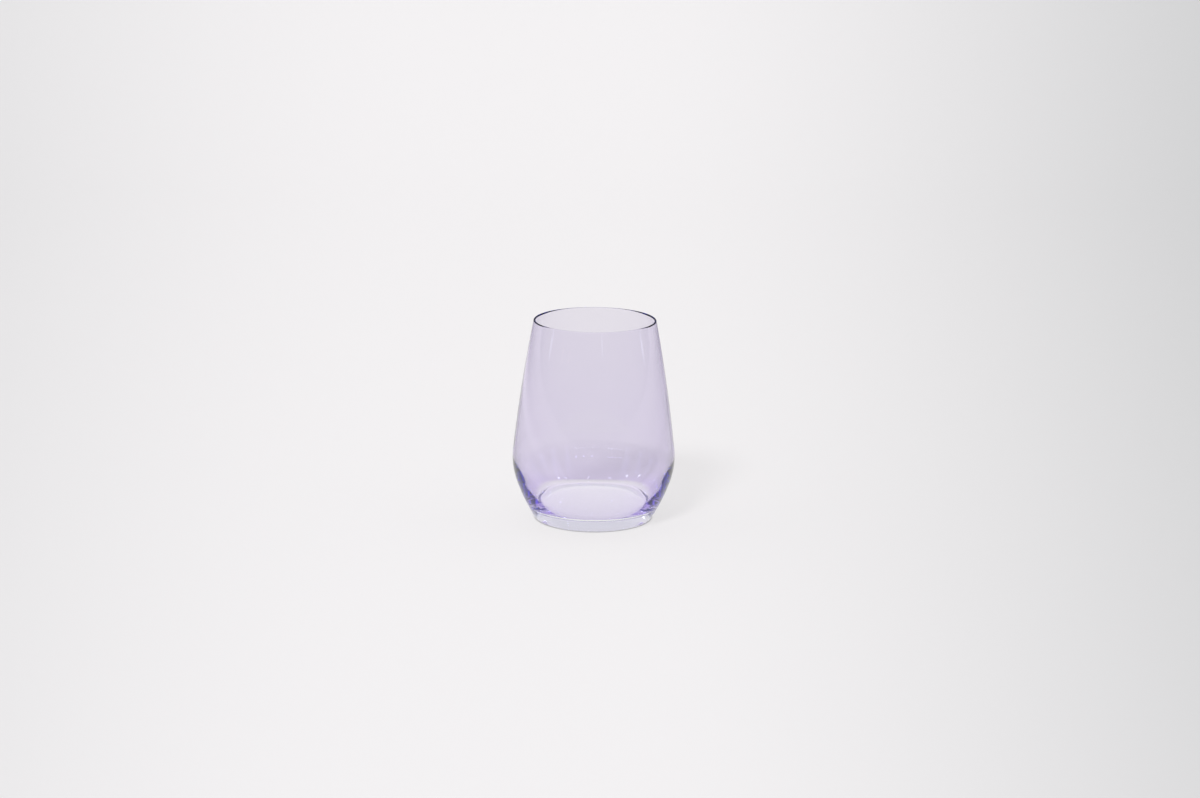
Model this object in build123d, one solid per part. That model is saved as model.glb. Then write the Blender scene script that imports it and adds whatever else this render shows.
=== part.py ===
from build123d import *
import math
import os

# Stemless wine glass: a blown lilac bowl, open below, fused to a thick clear base that is its floor.
# Millimetres, +Z up, origin in the middle of the plane that the glass stands on.
# Both pieces are turned about the Z axis. Their outlines are drawn with X as the radius and Y as the
# height. Each line runs into the next without a break, from the lip to the foot and from the lip to
# the floor, and the wall thickens from the lip down to the heel.

# Overall sizes
glass_height = 114.0
rim_diameter = 68.9  # across the outside of the lip
belly_diameter = 92.0  # across the widest ring
belly_height = 35.0  # height of the widest ring
standing_diameter = 65.0  # outer edge of the flat ring under the base

# Roundness of the outside
wall_radius = 900.0  # the long side, from the lip to the belly
belly_radius = 40.0
flank_radius = 105.0  # from the belly in to the foot
foot_edge_radius = 1.5

# Thickness of the glass
lip_thickness = 1.2
belly_wall = 1.55
heel_wall = 4.8  # across the side, level with the seam
floor_height = 7.2  # from the table to the drinking floor

# Seam, inside corner and underside
seam_rise = 1.3  # from the floor up to where the lilac glass is fused to the clear base
corner_radius = 3.5  # between the inner side and the floor
belly_pull = 8.5  # how far the inner side keeps upright below the belly
heel_pull = 6.5  # how far it keeps the slope of the corner above the heel
hollow_depth = 0.3  # the slight hollow under the base
standing_ring_width = 3.0


def arc_centre(first, first_reach, second, second_reach):
    """The point at one reach from first and another from second, on the side of the axis."""
    across = second - first
    along = (across.length**2 + first_reach**2 - second_reach**2) / (2 * across.length)
    aside = math.sqrt(first_reach**2 - along**2)
    square = Vector(-across.Y, across.X).normalized()
    foot = first + across.normalized() * along
    return min(foot + square * aside, foot - square * aside, key=lambda point: point.X)


def touch(centre, radius, other):
    """Where an arc about centre touches the round about other."""
    return centre + (other - centre).normalized() * radius


def at_height(centre, radius, height):
    """The outer point of an arc at a height."""
    return Vector(centre.X + math.sqrt(radius**2 - (height - centre.Y) ** 2), height)


def arc(centre, start, end):
    """The shorter arc about centre, from start to end."""
    radius = (start - centre).length
    middle = (start - centre).normalized() + (end - centre).normalized()
    return ThreePointArc(start, centre + middle.normalized() * radius, end)


def turned(outline):
    """The solid that a closed outline sweeps in one turn about the Z axis."""
    return revolve(Plane.XZ * make_face(outline), Axis.Z)


# Outside: lip, long side, belly, flank and foot edge, each tangent to the next
lip_radius = lip_thickness / 2
lip_centre = Vector(rim_diameter / 2 - lip_radius, glass_height - lip_radius)
belly_centre = Vector(belly_diameter / 2 - belly_radius, belly_height)
foot_centre = Vector(standing_diameter / 2, foot_edge_radius)
wall_centre = arc_centre(lip_centre, wall_radius - lip_radius, belly_centre, wall_radius - belly_radius)
flank_centre = arc_centre(
    foot_centre, flank_radius - foot_edge_radius, belly_centre, flank_radius - belly_radius
)
lip_outside = touch(wall_centre, wall_radius, lip_centre)
belly_top = touch(wall_centre, wall_radius, belly_centre)
belly_bottom = touch(flank_centre, flank_radius, belly_centre)
foot_top = touch(flank_centre, flank_radius, foot_centre)

# The fused seam is a flat ring, a little above the floor
seam_height = floor_height + seam_rise
seam_outside = at_height(flank_centre, flank_radius, seam_height)
seam_inside = seam_outside - Vector(heel_wall, 0)

# Inside corner, from the seam down to the floor
corner_slope = math.acos(1 - seam_rise / corner_radius)
corner_reach = corner_radius * math.sin(corner_slope)
corner_centre = Vector(seam_inside.X - corner_reach, floor_height + corner_radius)
floor_edge = corner_centre - Vector(0, corner_radius)

# Inside below the belly: a drawn curve that leaves the corner on its slope and ends upright
inner_belly = Vector(belly_diameter / 2 - belly_wall, belly_height)
heel_handle = seam_inside + Vector(math.cos(corner_slope), math.sin(corner_slope)) * heel_pull
belly_handle = inner_belly - Vector(0, belly_pull)

# Inside above the belly: a round, then a long side up to the lip
inner_belly_radius = belly_radius - belly_wall
inner_belly_centre = inner_belly - Vector(inner_belly_radius, 0)
inner_wall_radius = wall_radius - belly_wall
inner_wall_centre = arc_centre(
    lip_centre,
    inner_wall_radius + lip_radius,
    inner_belly_centre,
    inner_wall_radius - inner_belly_radius,
)
lip_inside = touch(inner_wall_centre, inner_wall_radius, lip_centre)
inner_belly_top = touch(inner_wall_centre, inner_wall_radius, inner_belly_centre)
across_lip = (lip_outside - lip_inside).normalized()
lip_crest = lip_centre + Vector(-across_lip.Y, across_lip.X) * lip_radius


def lilac_bowl():
    """The lilac side of the bowl, from the seam up to its rolled lip, in one blown piece."""
    return turned(
        [
            Line(seam_inside, seam_outside),
            arc(flank_centre, seam_outside, belly_bottom),
            arc(belly_centre, belly_bottom, belly_top),
            arc(wall_centre, belly_top, lip_outside),
            ThreePointArc(lip_outside, lip_crest, lip_inside),
            arc(inner_wall_centre, lip_inside, inner_belly_top),
            arc(inner_belly_centre, inner_belly_top, inner_belly),
            Bezier(inner_belly, belly_handle, heel_handle, seam_inside),
        ]
    )


def clear_base():
    """The heavy base: foot edge, drinking floor and inside corner, hollowed so that a ring stands."""
    ring_outside = Vector(foot_centre.X, 0)
    ring_inside = ring_outside - Vector(standing_ring_width, 0)
    hollow_top = Vector(0, hollow_depth)
    hollow_radius = (ring_inside.X**2 + hollow_depth**2) / (2 * hollow_depth)
    hollow_centre = hollow_top - Vector(0, hollow_radius)
    floor_middle = Vector(0, floor_height)
    return turned(
        [
            arc(hollow_centre, hollow_top, ring_inside),
            Line(ring_inside, ring_outside),
            arc(foot_centre, ring_outside, foot_top),
            arc(flank_centre, foot_top, seam_outside),
            Line(seam_outside, seam_inside),
            arc(corner_centre, seam_inside, floor_edge),
            Line(floor_edge, floor_middle),
            Line(floor_middle, hollow_top),
        ]
    )


os.makedirs("parts", exist_ok=True)
export_step(lilac_bowl(), "parts/lilac_bowl.step")
export_step(clear_base(), "parts/clear_base.step")
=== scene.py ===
# %% [markdown]
# # A stemless wine glass
# The real glass is made of two kinds of glass. A lilac bowl is blown first, and a thick clear base is then
# fused under it while both are hot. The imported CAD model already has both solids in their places, in
# metres, so this lesson loads it as a fixed frame and dresses it. The glass itself is worked out in
# millimetres and turned to metres when its meshes are made. The paper, the room and the lamps are in metres
# from the start.

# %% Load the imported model
import math

import bpy
import numpy as np
from mathutils import Matrix, Vector


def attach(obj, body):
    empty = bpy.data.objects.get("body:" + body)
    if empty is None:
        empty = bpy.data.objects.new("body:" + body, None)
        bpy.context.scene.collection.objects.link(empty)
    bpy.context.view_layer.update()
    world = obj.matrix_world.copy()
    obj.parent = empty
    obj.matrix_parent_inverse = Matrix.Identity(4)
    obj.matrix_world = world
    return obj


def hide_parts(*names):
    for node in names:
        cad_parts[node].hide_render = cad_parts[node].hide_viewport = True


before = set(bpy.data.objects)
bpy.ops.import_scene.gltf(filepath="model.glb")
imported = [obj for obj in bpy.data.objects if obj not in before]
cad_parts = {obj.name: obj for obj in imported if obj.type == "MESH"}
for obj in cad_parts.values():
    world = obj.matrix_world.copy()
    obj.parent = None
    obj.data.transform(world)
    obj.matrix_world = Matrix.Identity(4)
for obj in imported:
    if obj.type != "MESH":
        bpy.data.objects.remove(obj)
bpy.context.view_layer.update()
scene = bpy.context.scene
MM = 0.001
print("CAD nodes:", sorted(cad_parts))

# %% [markdown]
# ## The outline of the glass
# A drinking glass is round, so one outline says all about its shape. The CAD mesh has that outline too, but
# its triangles are flat, and flat triangles break up what is seen through glass. A Subdivision Surface
# would round them off but would also move them. So the outline is worked out again from the same sizes, as
# arcs that run into each other, and every point keeps the exact direction that the surface faces there.

# %% Sizes of the outside and the inside
glass_height = 114.0
rim_diameter = 68.9
belly_diameter = 92.0
belly_height = 35.0
standing_diameter = 65.0
wall_radius = 900.0
belly_radius = 40.0
flank_radius = 105.0
foot_edge_radius = 1.5
lip_thickness = 1.2
belly_wall = 1.55
heel_wall = 4.8
floor_height = 7.2
seam_height = 8.5
corner_radius = 3.5
belly_pull = 8.5
heel_pull = 6.5
hollow_depth = 0.3
standing_ring_width = 3.0
print("The glass is", glass_height, "mm tall and", belly_diameter, "mm across the belly")


# %% Points and arcs in the plane of the outline
def point(radius, height):
    """A point of the outline: its distance from the axis and its height."""
    return np.array([radius, height])


def length(vector):
    """The length of a plane vector."""
    return float(np.hypot(*vector))


def arc_centre(first, first_reach, second, second_reach):
    """The point at one reach from first and another from second, on the side of the axis."""
    across = second - first
    span = length(across)
    along = (span**2 + first_reach**2 - second_reach**2) / (2 * span)
    aside = math.sqrt(first_reach**2 - along**2)
    square = point(-across[1], across[0]) / span
    foot = first + across / span * along
    return min(foot + square * aside, foot - square * aside, key=lambda spot: spot[0])


def touch(centre, radius, other):
    """Where an arc about centre touches the round about other."""
    return centre + (other - centre) / length(other - centre) * radius


print("Two arcs of 5 whose centres are 6 apart meet at", arc_centre(point(0, 0), 5, point(0, 6), 5))

# %% Key points of the outside
lip_radius = lip_thickness / 2
lip_centre = point(rim_diameter / 2 - lip_radius, glass_height - lip_radius)
belly_centre = point(belly_diameter / 2 - belly_radius, belly_height)
foot_centre = point(standing_diameter / 2, foot_edge_radius)
wall_centre = arc_centre(lip_centre, wall_radius - lip_radius, belly_centre, wall_radius - belly_radius)
flank_centre = arc_centre(
    foot_centre, flank_radius - foot_edge_radius, belly_centre, flank_radius - belly_radius
)
lip_outside = touch(wall_centre, wall_radius, lip_centre)
belly_top = touch(wall_centre, wall_radius, belly_centre)
belly_bottom = touch(flank_centre, flank_radius, belly_centre)
foot_top = touch(flank_centre, flank_radius, foot_centre)
print("Outside: belly from", belly_bottom.round(1), "to", belly_top.round(1), "mm")


# %% Key points of the heel and the inside corner
def on_flank(height):
    """The outer point of the flank at a height: centre + sqrt(radius^2 - rise^2)."""
    run = math.sqrt(flank_radius**2 - (height - flank_centre[1]) ** 2)
    return point(flank_centre[0] + run, height)


seam_outside = on_flank(seam_height)
seam_inside = seam_outside - point(heel_wall, 0)
corner_slope = math.acos(1 - (seam_height - floor_height) / corner_radius)
corner_centre = point(seam_inside[0] - corner_radius * math.sin(corner_slope), floor_height + corner_radius)
floor_edge = corner_centre - point(0, corner_radius)
heel_handle = seam_inside + point(math.cos(corner_slope), math.sin(corner_slope)) * heel_pull
print("Inside: seam at", seam_inside.round(1), "and floor edge at", floor_edge.round(1), "mm")

# %% Key points of the inner side
inner_belly = point(belly_diameter / 2 - belly_wall, belly_height)
belly_handle = inner_belly - point(0, belly_pull)
inner_belly_radius = belly_radius - belly_wall
inner_belly_centre = inner_belly - point(inner_belly_radius, 0)
inner_wall_radius = wall_radius - belly_wall
inner_wall_centre = arc_centre(
    lip_centre,
    inner_wall_radius + lip_radius,
    inner_belly_centre,
    inner_wall_radius - inner_belly_radius,
)
lip_inside = touch(inner_wall_centre, inner_wall_radius, lip_centre)
inner_belly_top = touch(inner_wall_centre, inner_wall_radius, inner_belly_centre)
print("Inner side from", inner_belly_top.round(1), "to", lip_inside.round(1), "mm")

# %% [markdown]
# ## Stretches of outline
# Each stretch is a row of points and the direction that the glass faces at each of them. On an arc that
# direction points away from the centre, or towards it where the arc is hollow. On a straight or a drawn
# stretch it is a quarter turn from the line. Where two stretches meet smoothly their directions agree, and
# at the seam they don't, which keeps its edge crisp.


# %% Three kinds of stretch
def arc_stretch(centre, start, end, count, facing=1, past_top=False):
    """Points at centre + radius (cos a, sin a), a in even steps. They face facing times (cos a, sin a)."""
    first = math.atan2(*(start - centre)[::-1])
    turn = (math.atan2(*(end - centre)[::-1]) - first + math.pi) % (2 * math.pi) - math.pi
    if past_top and turn < 0:
        turn += 2 * math.pi
    angle = first + turn * np.linspace(0, 1, count)
    outwards = np.stack([np.cos(angle), np.sin(angle)], axis=1)
    return centre + length(start - centre) * outwards, facing * outwards


def line_stretch(start, end, count):
    """Points at start + t (end - start), with t in even steps. They face a quarter turn right of the line."""
    along = (end - start) / length(end - start)
    points = start + np.linspace(0, 1, count)[:, None] * (end - start)
    return points, np.tile(point(along[1], -along[0]), (count, 1))


def drawn_stretch(start, start_handle, end_handle, end, count):
    """A Bezier curve, (1-t)^3 start + 3(1-t)^2 t handle + 3(1-t) t^2 handle + t^3 end, and its right side."""
    t = np.linspace(0, 1, count)[:, None]
    s = 1 - t
    points = s**3 * start + 3 * s**2 * t * start_handle + 3 * s * t**2 * end_handle + t**3 * end
    first, middle, last = start_handle - start, end_handle - start_handle, end - end_handle
    along = s**2 * first + 2 * s * t * middle + t**2 * last
    along /= np.linalg.norm(along, axis=1, keepdims=True)
    return points, np.stack([along[:, 1], -along[:, 0]], axis=1)


print("A flat stretch that runs outwards faces", line_stretch(point(0, 0), point(1, 0), 2)[1][0])

# %% [markdown]
# ## The two outlines
# The bowl's outline runs from the seam up the outside, over the rolled lip and down the inside to the seam
# again. The base's outline runs from the axis under the foot, up the outside to the seam, and back over the
# inside corner and the floor to the axis. The number that ends each stretch is its count of points, which
# lie closer where the glass bends more. On the real glass the fused seam is flush and shows only as a thin
# line. In Blender each piece is a closed shell, so light crosses two faces there, and a gap of 0.02 mm
# keeps them apart.

# %% Outline of the lilac bowl
bowl_outline = [
    ("seam", *line_stretch(seam_inside, seam_outside, 5)),
    ("flank", *arc_stretch(flank_centre, seam_outside, belly_bottom, 18)),
    ("belly", *arc_stretch(belly_centre, belly_bottom, belly_top, 24)),
    ("side", *arc_stretch(wall_centre, belly_top, lip_outside, 32)),
    ("lip", *arc_stretch(lip_centre, lip_outside, lip_inside, 16, past_top=True)),
    ("inner side", *arc_stretch(inner_wall_centre, lip_inside, inner_belly_top, 32, facing=-1)),
    ("inner belly", *arc_stretch(inner_belly_centre, inner_belly_top, inner_belly, 8, facing=-1)),
    ("inner heel", *drawn_stretch(inner_belly, belly_handle, heel_handle, seam_inside, 36)),
]
print("Bowl outline:", sum(len(points) - 1 for label, points, facing in bowl_outline), "points")

# %% Outline of the clear base
seam_gap = 0.02
base_outside = on_flank(seam_height - seam_gap)
base_inside = seam_inside - point(0, seam_gap)
ring_outside = point(standing_diameter / 2, 0)
ring_inside = ring_outside - point(standing_ring_width, 0)
hollow_top = point(0, hollow_depth)
hollow_radius = (ring_inside[0] ** 2 + hollow_depth**2) / (2 * hollow_depth)
hollow_centre = hollow_top - point(0, hollow_radius)
corner_points, corner_facing = arc_stretch(corner_centre, seam_inside, floor_edge, 14, facing=-1)
corner_points[0] = base_inside
base_outline = [
    ("hollow", *arc_stretch(hollow_centre, hollow_top, ring_inside, 18, facing=-1)),
    ("ring", *line_stretch(ring_inside, ring_outside, 4)),
    ("foot", *arc_stretch(foot_centre, ring_outside, foot_top, 12)),
    ("flank", *arc_stretch(flank_centre, foot_top, base_outside, 14)),
    ("seam", *line_stretch(base_outside, base_inside, 5)),
    ("corner", corner_points, corner_facing),
    ("floor", *line_stretch(floor_edge, point(0, floor_height), 14)),
]
print("Base outline:", sum(len(points) - 1 for label, points, facing in base_outline), "points")

# %% [markdown]
# ## Turning an outline into a mesh
# Blender's Screw modifier could carry the outline round the axis, but it would work out its own shading.
# Here the whole surface is one array: ring after ring of points at equal angles. The faces are index
# arrays, and each corner of each face is given the outline's own direction as its normal, so the glass is
# shaded as the smooth surface that it stands for.

# %% Rings of points and faces between them
segments = 256
around = np.arange(segments) * (2 * np.pi / segments)


def carried_round(rows):
    """Every row (r, z) at every angle a: (r cos a, r sin a, z)."""
    across, up = rows[:, :1], rows[:, 1:]
    return np.stack([across * np.cos(around), across * np.sin(around), up * np.ones(segments)], axis=-1)


def band_faces(band_count, ring_count):
    """Four corners a face: a ring and the next, a column and the next, and the last goes on to the first."""
    band = np.arange(band_count)[:, None]
    column = np.arange(segments)
    low, high = band * segments, (band + 1) % ring_count * segments
    beside = (column + 1) % segments
    return np.stack([low + column, low + beside, high + beside, high + column], axis=-1)


print("One ring of faces starts", band_faces(1, 2)[0, 0])


# %% Directions at the corners of the faces
def corner_directions(outline):
    """The outline's directions at both ends of each band, turned to both columns of each face."""
    low = carried_round(np.vstack([facing[:-1] for label, points, facing in outline]))
    high = carried_round(np.vstack([facing[1:] for label, points, facing in outline]))
    return np.stack([low, np.roll(low, -1, axis=1), np.roll(high, -1, axis=1), high], axis=2)


print("The bowl has", corner_directions(bowl_outline).size // 3, "corner directions")

# %% Points, faces and normals of a turned outline
FIRST_FAN = [0, 2, 3]
LAST_FAN = [0, 1, 2]


def turned_surface(outline, closed):
    """Faces between the outline's rings. An open outline ends on the axis, in one point and a fan each."""
    rings = [points[:-1] for label, points, facing in outline]
    if not closed:
        label, points, facing = outline[-1]
        rings.append(points[-1:])
    points = carried_round(np.vstack(rings))
    directions = corner_directions(outline)
    faces = band_faces(len(directions), len(points))
    kept = np.ones(points.shape[:2], bool)
    groups = [(faces, directions)]
    if not closed:
        kept[[0, -1], 1:] = False
        faces[0, :, 0] = 0
        faces[-1, :, 2] = (len(points) - 1) * segments
        first = (faces[0][:, FIRST_FAN], directions[0][:, FIRST_FAN])
        last = (faces[-1][:, LAST_FAN], directions[-1][:, LAST_FAN])
        groups = [first, (faces[1:-1], directions[1:-1]), last]
    number = np.cumsum(kept) - 1
    corners = []
    for group, facing in groups:
        corners += number[group].reshape(-1, group.shape[-1]).tolist()
    normals = np.vstack([facing.reshape(-1, 3) for group, facing in groups])
    return points[kept], corners, normals


print("The base has", len(turned_surface(base_outline, closed=False)[0]), "points")

# %% [markdown]
# ## Faces that bend light less
# If the faces of the seam bent light, a bright ring would show where the real glass goes on without a
# break. So they carry a mark of 1, which the material turns into an index of refraction of 1. The lip
# carries a smaller mark. A real lip has a finer crest than a half round of the wall's thickness, and such a
# crest shows as a thinner, paler line. A lower index thins the line in the same way and leaves the shape
# alone.

# %% The two turned pieces
lip_mark = 0.38
face_marks = {"seam": 1.0, "lip": lip_mark}


def turned_piece(name, outline, closed):
    """The turned surface as a smooth mesh in metres, with a mark on each face from its stretch of outline."""
    points, corners, normals = turned_surface(outline, closed)
    marks = [np.full(len(part) - 1, face_marks.get(label, 0.0)) for label, part, facing in outline]
    mesh = bpy.data.meshes.new(name)
    mesh.from_pydata((points * MM).tolist(), [], corners)
    mesh.polygons.foreach_set("use_smooth", np.ones(len(corners), bool))
    straight = mesh.attributes.new("straight_through", "FLOAT", "FACE")
    straight.data.foreach_set("value", np.repeat(np.concatenate(marks), segments).astype(np.float32))
    mesh.normals_split_custom_set(normals.tolist())
    mesh.update()
    piece = bpy.data.objects.new(name, mesh)
    scene.collection.objects.link(piece)
    return piece


bowl = turned_piece("lilac_bowl_turned", bowl_outline, closed=True)
base = turned_piece("clear_base_turned", base_outline, closed=False)
for piece in (bowl, base):
    print(piece.name, len(piece.data.polygons), "faces")

# %% [markdown]
# ## What the two glasses are
# Both are soda-lime glass with a fire-polished skin, so they are as smooth as glass gets and bend light
# with an index of 1.5. The lilac one is coloured all through. Its colour therefore isn't paint on the
# surface but a volume that takes light away along the path, mostly green and red and almost no blue. That
# is why the thin side looks pale and the heel, where light runs along inside the wall, looks deep violet.


# %% Colours and nodes
def linear(hex_colour):
    """sRGB hex to linear light: c/12.92 below 0.04045, otherwise ((c + 0.055) / 1.055)^2.4."""
    channels = np.array([int(hex_colour[k : k + 2], 16) for k in (1, 3, 5)]) / 255
    return np.where(channels <= 0.04045, channels / 12.92, ((channels + 0.055) / 1.055) ** 2.4)


def add_node(tree, kind, settings=None, values=None, links=None):
    """Adds a node, sets its own settings and its sockets' values, and links outputs into its sockets."""
    node = tree.nodes.new(kind)
    for name, value in (settings or {}).items():
        setattr(node, name, value)
    for socket, value in (values or {}).items():
        node.inputs[socket].default_value = value
    for socket, output in (links or {}).items():
        tree.links.new(output, node.inputs[socket])
    return node


def new_material(name):
    """An empty node material."""
    material = bpy.data.materials.new(name)
    material.use_nodes = True
    material.node_tree.nodes.clear()
    return material, material.node_tree


print("White is", linear("#FFFFFF"), "and mid grey is", linear("#BCBCBC").round(2))

# %% [markdown]
# ## The glass material
# Blown glass is never quite even. Its waves are a hundredth of a millimetre high and drawn out along the
# side, because the bowl was pulled as it was blown. They are too slight to model, so a bump of that height
# bends the reflections a little. The colour is written as what is left of white light after 10 mm of glass,
# and the absorption per millimetre follows from it.

# %% Polished glass
glass_index = 1.5
seam_index = 1.0
colour_depth = 10.0
density_margin = 1.25
wave_detail = 1.0
wave_fineness = 0.4


def polished_glass(name, colour_in_depth, wave_height, wave_across, wave_along):
    """Wavy Principled glass whose volume takes -ln(colour) / depth, so white gets that colour in depth mm."""
    material, tree = new_material(name)
    place = add_node(tree, "ShaderNodeTexCoord")
    stretch = (1 / (wave_across * MM), 1 / (wave_across * MM), 1 / (wave_along * MM))
    waves = add_node(
        tree, "ShaderNodeMapping", values={"Scale": stretch}, links={"Vector": place.outputs["Object"]}
    )
    ripple = add_node(
        tree,
        "ShaderNodeTexNoise",
        values={"Scale": 1.0, "Detail": wave_detail, "Roughness": wave_fineness},
        links={"Vector": waves.outputs["Vector"]},
    )
    bump = add_node(
        tree,
        "ShaderNodeBump",
        values={"Strength": 1.0, "Distance": wave_height * MM},
        links={"Height": ripple.outputs["Fac"]},
    )
    straight = add_node(tree, "ShaderNodeAttribute", settings={"attribute_name": "straight_through"})
    index = add_node(
        tree,
        "ShaderNodeMapRange",
        values={"To Min": glass_index, "To Max": seam_index},
        links={"Value": straight.outputs["Fac"]},
    )
    surface = add_node(
        tree,
        "ShaderNodeBsdfPrincipled",
        values={"Base Color": (1, 1, 1, 1), "Transmission Weight": 1.0, "Roughness": 0.0},
        links={"IOR": index.outputs["Result"], "Normal": bump.outputs["Normal"]},
    )
    # Absorption is density times (1 - colour), so any density above the largest value taken will do
    taken = -np.log(linear(colour_in_depth)) / (colour_depth * MM)
    density = density_margin * taken.max()
    volume = add_node(
        tree,
        "ShaderNodeVolumeAbsorption",
        values={"Color": (*(1 - taken / density), 1), "Density": density},
    )
    add_node(
        tree,
        "ShaderNodeOutputMaterial",
        links={"Surface": surface.outputs["BSDF"], "Volume": volume.outputs["Volume"]},
    )
    print(name, "takes", (taken * MM).round(4), "of each colour per mm")
    return material


# Blown and tinted all through: a pale lilac veil in the side, deep violet blue where the wall is thick
lilac_glass = polished_glass(
    "lilac_soda_lime_glass", "#D6C6F9", wave_height=0.012, wave_across=7.0, wave_along=60.0
)
# Gathered hot and nearly colourless: it shows the paper under it, with bright and dark lines along its edges
clear_glass = polished_glass(
    "clear_soda_lime_glass", "#FBFBFD", wave_height=0.006, wave_across=9.0, wave_along=9.0
)

# %% [markdown]
# ## Standing for the CAD nodes
# Each turned piece takes the place of the CAD node of the same shape. The node stays in the model for
# collision and is only hidden. Both pieces ride on the one body, because nothing on a glass moves.

# %% Hand the pieces to the frame
for piece, node, slot, glass in (
    (bowl, "lilac_bowl", "lilac_glass", lilac_glass),
    (base, "clear_base", "clear_glass", clear_glass),
):
    piece.data.materials.append(glass)
    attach(piece, "root")
    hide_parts(node)
    print(piece.name, "stands for", node)

# %% [markdown]
# ## The table and the backdrop
# The glass stands on white paper that curves up behind it, so there is no corner to see. A floor and a wall
# would show their edge through the glass, upside down and bent. The sheet is a profile carried along X. It
# lies a fifth of a millimetre under the glass, so that the two surfaces don't fight.

# %% A sheet of paper that curves up
paper_half_width = 2.6
paper_front = -1.5
paper_bend = 1.1
bend_radius = 0.9
paper_top = 2.6
paper_drop = 0.0002
bend_steps = 24


def paper_sweep():
    """A profile of floor, quarter round and wall, carried along X between the two edges."""
    turn = np.linspace(0, np.pi / 2, bend_steps)
    curve_y = paper_bend + bend_radius * np.sin(turn)
    curve_z = bend_radius * (1 - np.cos(turn))
    profile_y = np.concatenate([[paper_front], curve_y, [paper_bend + bend_radius]])
    profile_z = np.concatenate([[0.0], curve_z, [paper_top]]) - paper_drop
    sides = np.array([-paper_half_width, paper_half_width])
    rows = len(profile_y)
    grid = np.stack(np.broadcast_arrays(sides, profile_y[:, None], profile_z[:, None]), axis=-1)
    start = np.arange(rows - 1) * 2
    faces = np.stack([start, start + 1, start + 3, start + 2], axis=1)
    mesh = bpy.data.meshes.new("paper_sweep")
    mesh.from_pydata(grid.reshape(-1, 3).tolist(), [], faces.tolist())
    mesh.polygons.foreach_set("use_smooth", np.ones(rows - 1, bool))
    sheet = bpy.data.objects.new("paper_sweep", mesh)
    scene.collection.objects.link(sheet)
    return sheet


paper = paper_sweep()
print("Paper from", paper_front, "to", paper_bend + bend_radius, "m")

# %% [markdown]
# ## The paper's painted fall-off
# The paper is matte white. It is lit best in the middle, and its light falls off to grey at the sides, more
# on the right. More lamps could do that, but they would change the glass too, so this fall-off of light is
# painted into the paper's tone. The sides of the painted fall-off fan out with distance, as a lens sees
# them: the place across is divided by 1 + half the distance. Far paper seen through the glass stays white,
# because the real backdrop is wider than the picture.

# %% Places on the paper
smooth = {"interpolation_type": "SMOOTHSTEP"}
side_spread = 0.5
paper_material, paper_tree = new_material("white_backdrop_paper")
place = add_node(paper_tree, "ShaderNodeTexCoord")
axes = add_node(paper_tree, "ShaderNodeSeparateXYZ", links={"Vector": place.outputs["Object"]})
from_axis = add_node(
    paper_tree, "ShaderNodeVectorMath", settings={"operation": "LENGTH"}, links={0: place.outputs["Object"]}
)
spread = add_node(
    paper_tree,
    "ShaderNodeMath",
    settings={"operation": "MULTIPLY_ADD"},
    values={1: side_spread, 2: 1.0},
    links={0: axes.outputs["Y"]},
)
off_centre = add_node(
    paper_tree,
    "ShaderNodeMath",
    settings={"operation": "DIVIDE"},
    links={0: axes.outputs["X"], 1: spread.outputs["Value"]},
)
print("The fall-off fans out by", side_spread, "per metre")

# %% Painted fall-off to grey, to the right and to the left
right_fade_start, right_fade_end = 0.0, 0.6
left_fade_start, left_fade_end, left_painted_falloff = -0.1, -0.7, 0.7
painted_falloff_right = add_node(
    paper_tree,
    "ShaderNodeMapRange",
    settings=smooth,
    values={"From Min": right_fade_start, "From Max": right_fade_end},
    links={"Value": off_centre.outputs["Value"]},
)
painted_falloff_left = add_node(
    paper_tree,
    "ShaderNodeMapRange",
    settings=smooth,
    values={"From Min": left_fade_start, "From Max": left_fade_end, "To Max": left_painted_falloff},
    links={"Value": off_centre.outputs["Value"]},
)
painted_falloff = add_node(
    paper_tree,
    "ShaderNodeMath",
    settings={"operation": "MAXIMUM"},
    links={0: painted_falloff_right.outputs["Result"], 1: painted_falloff_left.outputs["Result"]},
)
print("Grey from", right_fade_start, "on the right and", left_fade_start, "on the left")

# %% White far behind the glass
near_end, far_start = 0.6, 0.9
rays = add_node(paper_tree, "ShaderNodeLightPath")
nearby = add_node(
    paper_tree,
    "ShaderNodeMapRange",
    settings=smooth,
    values={"From Min": near_end, "From Max": far_start, "To Min": 1.0, "To Max": 0.0},
    links={"Value": axes.outputs["Y"]},
)
nearby_through = add_node(
    paper_tree,
    "ShaderNodeMath",
    settings={"operation": "MULTIPLY"},
    links={0: nearby.outputs["Result"], 1: rays.outputs["Is Transmission Ray"]},
)
far_through = add_node(
    paper_tree,
    "ShaderNodeMath",
    settings={"operation": "SUBTRACT"},
    links={0: rays.outputs["Is Transmission Ray"], 1: nearby_through.outputs["Value"]},
)
shown_painted_falloff = add_node(
    paper_tree,
    "ShaderNodeMath",
    settings={"operation": "SUBTRACT", "use_clamp": True},
    links={0: painted_falloff.outputs["Value"], 1: far_through.outputs["Value"]},
)
print("Far paper starts", far_start, "m behind the glass")

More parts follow.
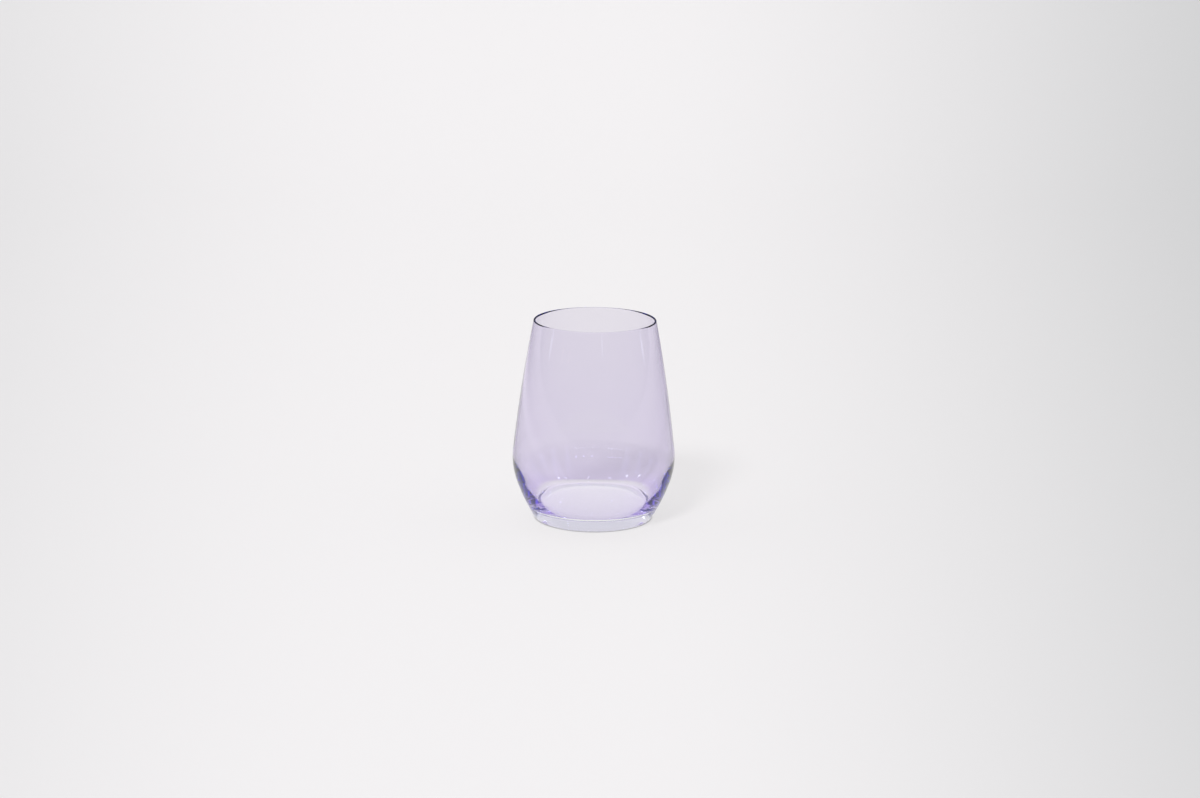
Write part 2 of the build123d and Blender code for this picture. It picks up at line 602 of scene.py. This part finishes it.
# %% The tones themselves
paper_white = linear("#F1EFF0")
# The grey is painted shade where the light falls off at the sides. It is not a colour of the paper.
painted_falloff_grey = linear("#C5C6C7")
# Under the base the plain tone is a warmer white. It is painted light for the light that a real glass gathers
# onto the paper under it.
under_base_painted_light = linear("#F0F2EB")
paper_with_painted_falloff = add_node(
    paper_tree,
    "ShaderNodeMix",
    settings={"data_type": "RGBA"},
    values={6: (*paper_white, 1), 7: (*painted_falloff_grey, 1)},
    links={0: shown_painted_falloff.outputs["Value"]},
)
under_base = add_node(
    paper_tree,
    "ShaderNodeMapRange",
    settings=smooth,
    values={
        "From Min": (standing_diameter / 2 - standing_ring_width) * MM,
        "From Max": standing_diameter / 2 * MM,
        "To Min": 1.0,
        "To Max": 0.0,
    },
    links={"Value": from_axis.outputs["Value"]},
)
shown_tone = add_node(
    paper_tree,
    "ShaderNodeMix",
    settings={"data_type": "RGBA"},
    values={7: (*under_base_painted_light, 1)},
    links={0: under_base.outputs["Result"], 6: paper_with_painted_falloff.outputs[2]},
)
print("Paper white", paper_white.round(3), "and grey", painted_falloff_grey.round(3))

# %% [markdown]
# ## How much of its plain tone the paper shows
# A pale background could be had with more light, but that would bleach the glass. Instead the paper mixes
# its matte self, which takes light and shadow, with its plain tone. Seen directly it is mostly plain, with
# a share of the soft shadow left. Seen through the glass it is plain under the base, where no lamp reaches
# in Blender although light does in a real glass, and a little less so behind it. Mirrored in the glass it
# is all plain.

# %% Shares by the kind of ray
seen_share = 0.8
under_base_share, under_base_reach = 1.0, 0.036
behind_share, behind_reach = 0.8, 0.085
mirrored = add_node(
    paper_tree,
    "ShaderNodeMath",
    settings={"operation": "SUBTRACT", "use_clamp": True},
    links={0: rays.outputs["Is Glossy Ray"], 1: rays.outputs["Is Transmission Ray"]},
)
through_share = add_node(
    paper_tree,
    "ShaderNodeMapRange",
    settings=smooth,
    values={
        "From Min": under_base_reach,
        "From Max": behind_reach,
        "To Min": under_base_share,
        "To Max": behind_share,
    },
    links={"Value": from_axis.outputs["Value"]},
)
through = add_node(
    paper_tree,
    "ShaderNodeMath",
    settings={"operation": "MULTIPLY"},
    links={0: rays.outputs["Is Transmission Ray"], 1: through_share.outputs["Result"]},
)
direct = add_node(
    paper_tree,
    "ShaderNodeMath",
    settings={"operation": "MULTIPLY"},
    values={1: seen_share},
    links={0: rays.outputs["Is Camera Ray"]},
)
seen = add_node(
    paper_tree,
    "ShaderNodeMath",
    settings={"operation": "MAXIMUM"},
    links={0: direct.outputs["Value"], 1: through.outputs["Value"]},
)
share = add_node(
    paper_tree,
    "ShaderNodeMath",
    settings={"operation": "MAXIMUM"},
    links={0: seen.outputs["Value"], 1: mirrored.outputs["Value"]},
)
print("Plain share: seen", seen_share, "under the base", under_base_share, "behind", behind_share)

# %% [markdown]
# ## How bright the plain tone is
# The plain tone has a strength near 1. In the side of the glass the paper is mirrored only where it is well
# lit, within half a metre. Under the base it is a little brighter, more so towards the back, and behind the
# glass a little darker, because light that has crossed glass on its way to the paper arrives weaker or
# bundled.

# %% Paper mirrored in the side
lit_centre = (-0.15, 0.1, 0.0)
lit_radius = 0.5
lit_edge = 0.3
unlit_strength = 0.25
from_lit_centre = add_node(
    paper_tree,
    "ShaderNodeVectorMath",
    settings={"operation": "DISTANCE"},
    values={1: lit_centre},
    links={0: place.outputs["Object"]},
)
beyond = add_node(
    paper_tree,
    "ShaderNodeMapRange",
    settings=smooth,
    values={"From Min": lit_radius - lit_edge / 2, "From Max": lit_radius + lit_edge / 2},
    links={"Value": from_lit_centre.outputs["Value"]},
)
mirrored_beyond = add_node(
    paper_tree,
    "ShaderNodeMath",
    settings={"operation": "MULTIPLY"},
    links={0: beyond.outputs["Result"], 1: mirrored.outputs["Value"]},
)
mirrored_strength = add_node(
    paper_tree,
    "ShaderNodeMapRange",
    values={"To Min": 1.0, "To Max": unlit_strength},
    links={"Value": mirrored_beyond.outputs["Value"]},
)
print("Mirrored paper is lit within", lit_radius, "m")

# %% Paper seen through the glass
under_base_glow = 1.05
behind_glow = 0.915
under_base_tilt = 3.5
glow = add_node(
    paper_tree,
    "ShaderNodeMapRange",
    settings=smooth,
    values={
        "From Min": standing_diameter / 2 * MM,
        "From Max": belly_diameter / 2 * MM,
        "To Min": under_base_glow - 1,
        "To Max": behind_glow - 1,
    },
    links={"Value": from_axis.outputs["Value"]},
)
tilt = add_node(
    paper_tree,
    "ShaderNodeMath",
    settings={"operation": "MULTIPLY"},
    values={1: under_base_tilt},
    links={0: axes.outputs["Y"]},
)
tilted_glow = add_node(
    paper_tree,
    "ShaderNodeMath",
    settings={"operation": "MULTIPLY_ADD"},
    links={0: tilt.outputs["Value"], 1: under_base.outputs["Result"], 2: glow.outputs["Result"]},
)
through_strength = add_node(
    paper_tree,
    "ShaderNodeMath",
    settings={"operation": "MULTIPLY_ADD"},
    values={2: 1.0},
    links={0: nearby_through.outputs["Value"], 1: tilted_glow.outputs["Value"]},
)
print("Under the base", under_base_glow, "and behind the glass", behind_glow)

# %% [markdown]
# ## The dark outline of the glass
# Clear glass shows its outline as a thin dark line. There the light enters the wall, turns back once on its
# inner face and leaves again to the side, where a real room is darker than the paper behind the glass.
# Black cards beside the glass would do it, but only for one camera. So the paper near the glass is dimmer
# for light that has met just three faces: in, back, and out. That holds from every side.

# %% Paper at the edge of the glass
edge_strength = 0.3
edge_near = 0.06
edge_far = 0.45
edge_far_start = 0.36
faces_met = 3.0
half_a_face = 0.5
turned_in_wall = add_node(
    paper_tree,
    "ShaderNodeMath",
    settings={"operation": "COMPARE"},
    values={1: faces_met, 2: half_a_face},
    links={0: rays.outputs["Ray Depth"]},
)
beside_near = add_node(
    paper_tree,
    "ShaderNodeMapRange",
    settings=smooth,
    values={"From Min": edge_near, "From Max": 2 * edge_near},
    links={"Value": from_axis.outputs["Value"]},
)
beside_far = add_node(
    paper_tree,
    "ShaderNodeMapRange",
    settings=smooth,
    values={"From Min": edge_far_start, "From Max": edge_far, "To Min": 1.0, "To Max": 0.0},
    links={"Value": from_axis.outputs["Value"]},
)
beside = add_node(
    paper_tree,
    "ShaderNodeMath",
    settings={"operation": "MULTIPLY"},
    links={0: beside_near.outputs["Result"], 1: beside_far.outputs["Result"]},
)
at_edge = add_node(
    paper_tree,
    "ShaderNodeMath",
    settings={"operation": "MULTIPLY"},
    links={0: beside.outputs["Value"], 1: turned_in_wall.outputs["Value"]},
)
edge_light = add_node(
    paper_tree,
    "ShaderNodeMapRange",
    values={"To Min": 1.0, "To Max": edge_strength},
    links={"Value": at_edge.outputs["Value"]},
)
print("Edge dimmed to", edge_strength, "between", edge_near, "and", edge_far, "m from the axis")

# %% [markdown]
# ## The line under the foot
# Where the foot touches the paper, hardly any light gets in, and a fine dark line runs round it. The plain
# tone hides most of that shadow, so a ring a millimetre or so wide puts it back where the camera sees it
# directly.

# %% Contact line
contact_radius = 0.033
contact_width = 0.0014
contact_strength = 0.45
from_foot = add_node(
    paper_tree,
    "ShaderNodeMath",
    settings={"operation": "SUBTRACT"},
    values={1: contact_radius},
    links={0: from_axis.outputs["Value"]},
)
off_foot = add_node(
    paper_tree, "ShaderNodeMath", settings={"operation": "ABSOLUTE"}, links={0: from_foot.outputs["Value"]}
)
contact = add_node(
    paper_tree,
    "ShaderNodeMapRange",
    settings=smooth,
    values={"From Min": 0.0, "From Max": contact_width, "To Min": contact_strength - 1, "To Max": 0.0},
    links={"Value": off_foot.outputs["Value"]},
)
contact_seen = add_node(
    paper_tree,
    "ShaderNodeMath",
    settings={"operation": "MULTIPLY_ADD"},
    values={2: 1.0},
    links={0: contact.outputs["Result"], 1: rays.outputs["Is Camera Ray"]},
)
print("Contact line", contact_radius / MM, "mm from the axis")

# %% The paper's shader
# White matte card: even, without gloss, and a soft grey shadow on it. Its tone carries the painted fall-off
# of light at the sides and painted light under the base
glass_strength = add_node(
    paper_tree,
    "ShaderNodeMath",
    settings={"operation": "MULTIPLY"},
    links={0: through_strength.outputs["Value"], 1: edge_light.outputs["Result"]},
)
strength = add_node(
    paper_tree,
    "ShaderNodeMath",
    settings={"operation": "MULTIPLY"},
    links={0: mirrored_strength.outputs["Result"], 1: glass_strength.outputs["Value"]},
)
lit_strength = add_node(
    paper_tree,
    "ShaderNodeMath",
    settings={"operation": "MULTIPLY"},
    links={0: strength.outputs["Value"], 1: contact_seen.outputs["Value"]},
)
matte = add_node(paper_tree, "ShaderNodeBsdfDiffuse", links={"Color": paper_with_painted_falloff.outputs[2]})
plain = add_node(
    paper_tree,
    "ShaderNodeEmission",
    links={"Color": shown_tone.outputs[2], "Strength": lit_strength.outputs["Value"]},
)
mixed = add_node(
    paper_tree,
    "ShaderNodeMixShader",
    links={"Fac": share.outputs["Value"], 1: matte.outputs["BSDF"], 2: plain.outputs["Emission"]},
)
add_node(paper_tree, "ShaderNodeOutputMaterial", links={"Surface": mixed.outputs["Shader"]})
paper.data.materials.append(paper_material)
print(paper_material.name, "has", len(paper_tree.nodes), "nodes")

# %% [markdown]
# ## The room
# Glass is mostly a picture of what is around it. A room could be built of walls, but a world that depends
# on direction does the same with less. It is bright overhead and behind the paper, and dim low down in
# front and under the ceiling there. That dim part, mirrored in the side, is what makes clear glass look
# like glass.

# %% Where the room is dim
front_start, front_end = 0.35, 0.65
low_start, low_end = 0.2, 0.6
dim_ceiling_rise = math.radians(40)
ceiling_start, ceiling_end = 0.45, 0.75
room = bpy.data.worlds.new("room")
scene.world = room
room.use_nodes = True
room_tree = room.node_tree
room_tree.nodes.clear()
direction = add_node(room_tree, "ShaderNodeTexCoord")
room_axes = add_node(room_tree, "ShaderNodeSeparateXYZ", links={"Vector": direction.outputs["Generated"]})
in_front = add_node(
    room_tree,
    "ShaderNodeMapRange",
    settings=smooth,
    values={"From Min": front_start, "From Max": front_end, "To Min": 1.0, "To Max": 0.0},
    links={"Value": room_axes.outputs["Y"]},
)
low_down = add_node(
    room_tree,
    "ShaderNodeMapRange",
    settings=smooth,
    values={"From Min": low_start, "From Max": low_end, "To Min": 1.0, "To Max": 0.0},
    links={"Value": room_axes.outputs["Z"]},
)
dim_horizon = add_node(
    room_tree,
    "ShaderNodeMath",
    settings={"operation": "MULTIPLY"},
    links={0: in_front.outputs["Result"], 1: low_down.outputs["Result"]},
)
towards_ceiling = add_node(
    room_tree,
    "ShaderNodeVectorMath",
    settings={"operation": "DOT_PRODUCT"},
    values={1: (0.0, -math.cos(dim_ceiling_rise), math.sin(dim_ceiling_rise))},
    links={0: direction.outputs["Generated"]},
)
dim_ceiling = add_node(
    room_tree,
    "ShaderNodeMapRange",
    settings=smooth,
    values={"From Min": ceiling_start, "From Max": ceiling_end},
    links={"Value": towards_ceiling.outputs["Value"]},
)
dimness = add_node(
    room_tree,
    "ShaderNodeMath",
    settings={"operation": "MAXIMUM"},
    links={0: dim_horizon.outputs["Value"], 1: dim_ceiling.outputs["Result"]},
)
print("The dim ceiling is", round(math.degrees(dim_ceiling_rise)), "degrees up in front")

# %% [markdown]
# ## Windows in the side walls
# The thick heel of the bowl bends light so far that it shows the sides of the room. In the real one, dark
# blue and bright violet streaks alternate there, as they do when a row of windows stands in a dark wall. A
# Gradient texture gives the turn about the upright axis, and going to and fro along it makes the row. The
# windows start above a sill and keep to the side walls, so that the side of the bowl stays plain.

# %% A row of windows
window_count = 15
window_light = 1.4
wall_light = 0.05
room_dim = 0.2
frame_start, frame_end = 0.6, 0.75
sill_start, sill_end = 0.13, 0.19
side_start, side_end = 0.5, 0.7
turn_about = add_node(
    room_tree,
    "ShaderNodeTexGradient",
    settings={"gradient_type": "RADIAL"},
    links={"Vector": direction.outputs["Generated"]},
)
window_steps = add_node(
    room_tree,
    "ShaderNodeMath",
    settings={"operation": "MULTIPLY"},
    values={1: 2.0 * window_count},
    links={0: turn_about.outputs["Fac"]},
)
to_and_fro = add_node(
    room_tree,
    "ShaderNodeMath",
    settings={"operation": "PINGPONG"},
    values={1: 1.0},
    links={0: window_steps.outputs["Value"]},
)
windows = add_node(
    room_tree,
    "ShaderNodeMapRange",
    settings=smooth,
    values={"From Min": frame_start, "From Max": frame_end, "To Min": wall_light, "To Max": window_light},
    links={"Value": to_and_fro.outputs["Value"]},
)
print("Windows:", window_count, "with light", window_light, "in walls with light", wall_light)

# %% Where the windows are
sill = add_node(
    room_tree,
    "ShaderNodeMapRange",
    settings=smooth,
    values={"From Min": sill_start, "From Max": sill_end},
    links={"Value": room_axes.outputs["Z"]},
)
sideways = add_node(
    room_tree, "ShaderNodeMath", settings={"operation": "ABSOLUTE"}, links={0: room_axes.outputs["X"]}
)
side_walls = add_node(
    room_tree,
    "ShaderNodeMapRange",
    settings=smooth,
    values={"From Min": side_start, "From Max": side_end},
    links={"Value": sideways.outputs["Value"]},
)
window_place = add_node(
    room_tree,
    "ShaderNodeMath",
    settings={"operation": "MULTIPLY"},
    links={0: sill.outputs["Result"], 1: side_walls.outputs["Result"]},
)
above_sill = add_node(
    room_tree,
    "ShaderNodeMix",
    values={2: room_dim},
    links={0: window_place.outputs["Value"], 3: windows.outputs["Result"]},
)
print("The rest of the dim room has light", room_dim)

# %% [markdown]
# ## What each ray sees of the room
# Light that has crossed the glass sees the windows, light that is mirrored sees the plain dim room, and
# matte surfaces are lit by a room that is a little less dim. In the glass the dim parts have the blue grey
# of dusk. The camera itself sees the room only beyond the paper's edge, and there it is about as pale as
# the paper's sides.

# %% Strength and tone of the room
room_light = 0.97
plain_light = 0.3
seen_room_light = 0.66
dusk = linear("#B4BEDD")
room_rays = add_node(room_tree, "ShaderNodeLightPath")
room_mirrored = add_node(
    room_tree,
    "ShaderNodeMath",
    settings={"operation": "SUBTRACT", "use_clamp": True},
    links={0: room_rays.outputs["Is Glossy Ray"], 1: room_rays.outputs["Is Transmission Ray"]},
)
mirror_light = add_node(
    room_tree,
    "ShaderNodeMapRange",
    values={"To Min": plain_light, "To Max": room_dim},
    links={"Value": room_mirrored.outputs["Value"]},
)
low_light = add_node(
    room_tree,
    "ShaderNodeMix",
    links={
        0: room_rays.outputs["Is Transmission Ray"],
        2: mirror_light.outputs["Result"],
        3: above_sill.outputs[0],
    },
)
room_strength = add_node(
    room_tree,
    "ShaderNodeMix",
    values={2: room_light},
    links={0: dimness.outputs["Value"], 3: low_light.outputs[0]},
)
shown_strength = add_node(
    room_tree,
    "ShaderNodeMix",
    values={3: seen_room_light},
    links={0: room_rays.outputs["Is Camera Ray"], 2: room_strength.outputs[0]},
)
dusky = add_node(
    room_tree,
    "ShaderNodeMath",
    settings={"operation": "MULTIPLY"},
    links={0: dimness.outputs["Value"], 1: room_rays.outputs["Is Glossy Ray"]},
)
room_tone = add_node(
    room_tree,
    "ShaderNodeMix",
    settings={"data_type": "RGBA"},
    values={6: (1, 1, 1, 1), 7: (*dusk, 1)},
    links={0: dusky.outputs["Value"]},
)
background = add_node(
    room_tree,
    "ShaderNodeBackground",
    links={"Color": room_tone.outputs[2], "Strength": shown_strength.outputs[0]},
)
add_node(room_tree, "ShaderNodeOutputWorld", links={"Surface": background.outputs["Background"]})
print("Room light", room_light, "dimmed to", room_dim, "in front")

# %% [markdown]
# ## The key light
# The shadow falls softly to the back right, so the main light comes from the front left, 43 degrees up. A
# sun lamp with a wide angle gives that soft edge all over the paper. The glass doesn't show it, because in
# the real glass no such lamp is mirrored.

# %% Key light
key_turn = math.radians(-24)
key_rise = math.radians(43)
key_strength = 2.1
key_softness = math.radians(14)
key_light = bpy.data.lights.new("key_light", "SUN")
key_light.energy = key_strength
key_light.angle = key_softness
key_lamp = bpy.data.objects.new("key_light", key_light)
scene.collection.objects.link(key_lamp)
key_travel = Vector(
    (-math.cos(key_rise) * math.sin(key_turn), math.cos(key_rise) * math.cos(key_turn), -math.sin(key_rise))
)
key_lamp.rotation_euler = key_travel.to_track_quat("-Z", "Y").to_euler()
key_lamp.visible_glossy = False
key_lamp.visible_transmission = False
print("Key light travels along", tuple(round(value, 2) for value in key_travel))

# %% [markdown]
# ## Small lamps of the room
# The belly of the real glass mirrors two rows of small bright dots, and its side a few pale upright
# streaks: the lamps and windows of the room. Painted highlights would stay put when the camera moves. So
# these are real lamps, each placed by its turn from the front and its rise. Far ceiling lamps, which stand
# low, make the upper row, near ones, which stand higher, the lower row, narrow windows the streaks, and two
# warm lamps a slight warm streak. The glass mirrors each lamp on both faces of its back wall, so a row has
# a fainter twin.

# %% One small lamp
lamp_distance = 2.4
lamp_aim = (0, 0, 0.05)
warm = linear("#FFE9DC")
cool = linear("#E6F0FF")


def small_lamp(name, turn, rise, width, height, glow, colour):
    """A lamp at distance (cos rise sin turn, -cos rise cos turn, sin rise) from the glass, facing it."""
    turn, rise = math.radians(turn), math.radians(rise)
    flat = lamp_distance * math.cos(rise)
    height_above = lamp_aim[2] + lamp_distance * math.sin(rise)
    place = Vector((flat * math.sin(turn), -flat * math.cos(turn), height_above))
    lamp = bpy.data.lights.new(name, "AREA")
    lamp.shape = "RECTANGLE"
    lamp.size = width
    lamp.size_y = height
    lamp.energy = glow * width * height * math.pi
    lamp.color = tuple(colour)
    holder = bpy.data.objects.new(name, lamp)
    scene.collection.objects.link(holder)
    holder.location = place
    holder.rotation_euler = (Vector(lamp_aim) - place).to_track_quat("-Z", "Y").to_euler()


print("Small lamps stand", lamp_distance, "m away")

# %% Rows of small lamps
ceiling_size, ceiling_glow = 0.08, 10.0
near_size, near_glow = 0.14, 12.0
window_height, window_glow = 0.08, 1.6
warm_width, warm_height, warm_glow = 0.06, 0.02, 2.5
for turn, rise in ((28, 16), (16, 16.5), (2, 17), (-23, 16.5), (-29, 16), (-35, 15.5), (-43, 14.5)):
    small_lamp("ceiling_lamp", turn, rise, ceiling_size, ceiling_size, ceiling_glow, cool)
for turn, rise in ((80, 37), (64, 42), (12, 50), (-38, 47), (-72, 36), (-96, 26)):
    small_lamp("near_lamp", turn, rise, near_size, near_size, near_glow, cool)
for turn, rise, width in ((-83.5, 4.0, 0.12), (13.0, 9.4, 0.06), (92.0, 2.6, 0.12)):
    small_lamp("window", turn, rise, width, window_height, window_glow, cool)
for turn, rise in ((-58.0, 5.7), (-44.0, 6.7)):
    small_lamp("warm_lamp", turn, rise, warm_width, warm_height, warm_glow, warm)
print("Small lamps:", len(bpy.data.lights) - 1)

# %% [markdown]
# ## The camera
# The camera looks down at the glass by about 14 degrees, from 1.4 m away, through a long lens. These
# numbers were fitted to the ellipse of the rim and to the foot. Light has to cross many faces of glass and
# turn many times in the heel, so it gets 64 bounces.

# %% The camera
sensor_width = 36.0
lens_length = 75.0
camera_place = (0, -1.369, 0.407)
look_aside = math.radians(-0.136)
look_down = math.radians(13.9)
camera_roll = math.radians(0.6)
glass_bounces = 64
lens = bpy.data.cameras.new("camera")
lens.sensor_width = sensor_width
lens.lens = lens_length
camera = bpy.data.objects.new("camera", lens)
scene.collection.objects.link(camera)
aim = Matrix.Rotation(look_aside, 4, "Z") @ Matrix.Rotation(math.pi / 2 - look_down, 4, "X")
camera.matrix_world = Matrix.Translation(camera_place) @ aim @ Matrix.Rotation(camera_roll, 4, "Z")
scene.camera = camera
scene.view_settings.view_transform = "Standard"
scene.cycles.max_bounces = glass_bounces
scene.cycles.transmission_bounces = glass_bounces
scene.cycles.glossy_bounces = glass_bounces
scene.cycles.transparent_max_bounces = glass_bounces
print("Camera at", tuple(round(value, 3) for value in camera.location))
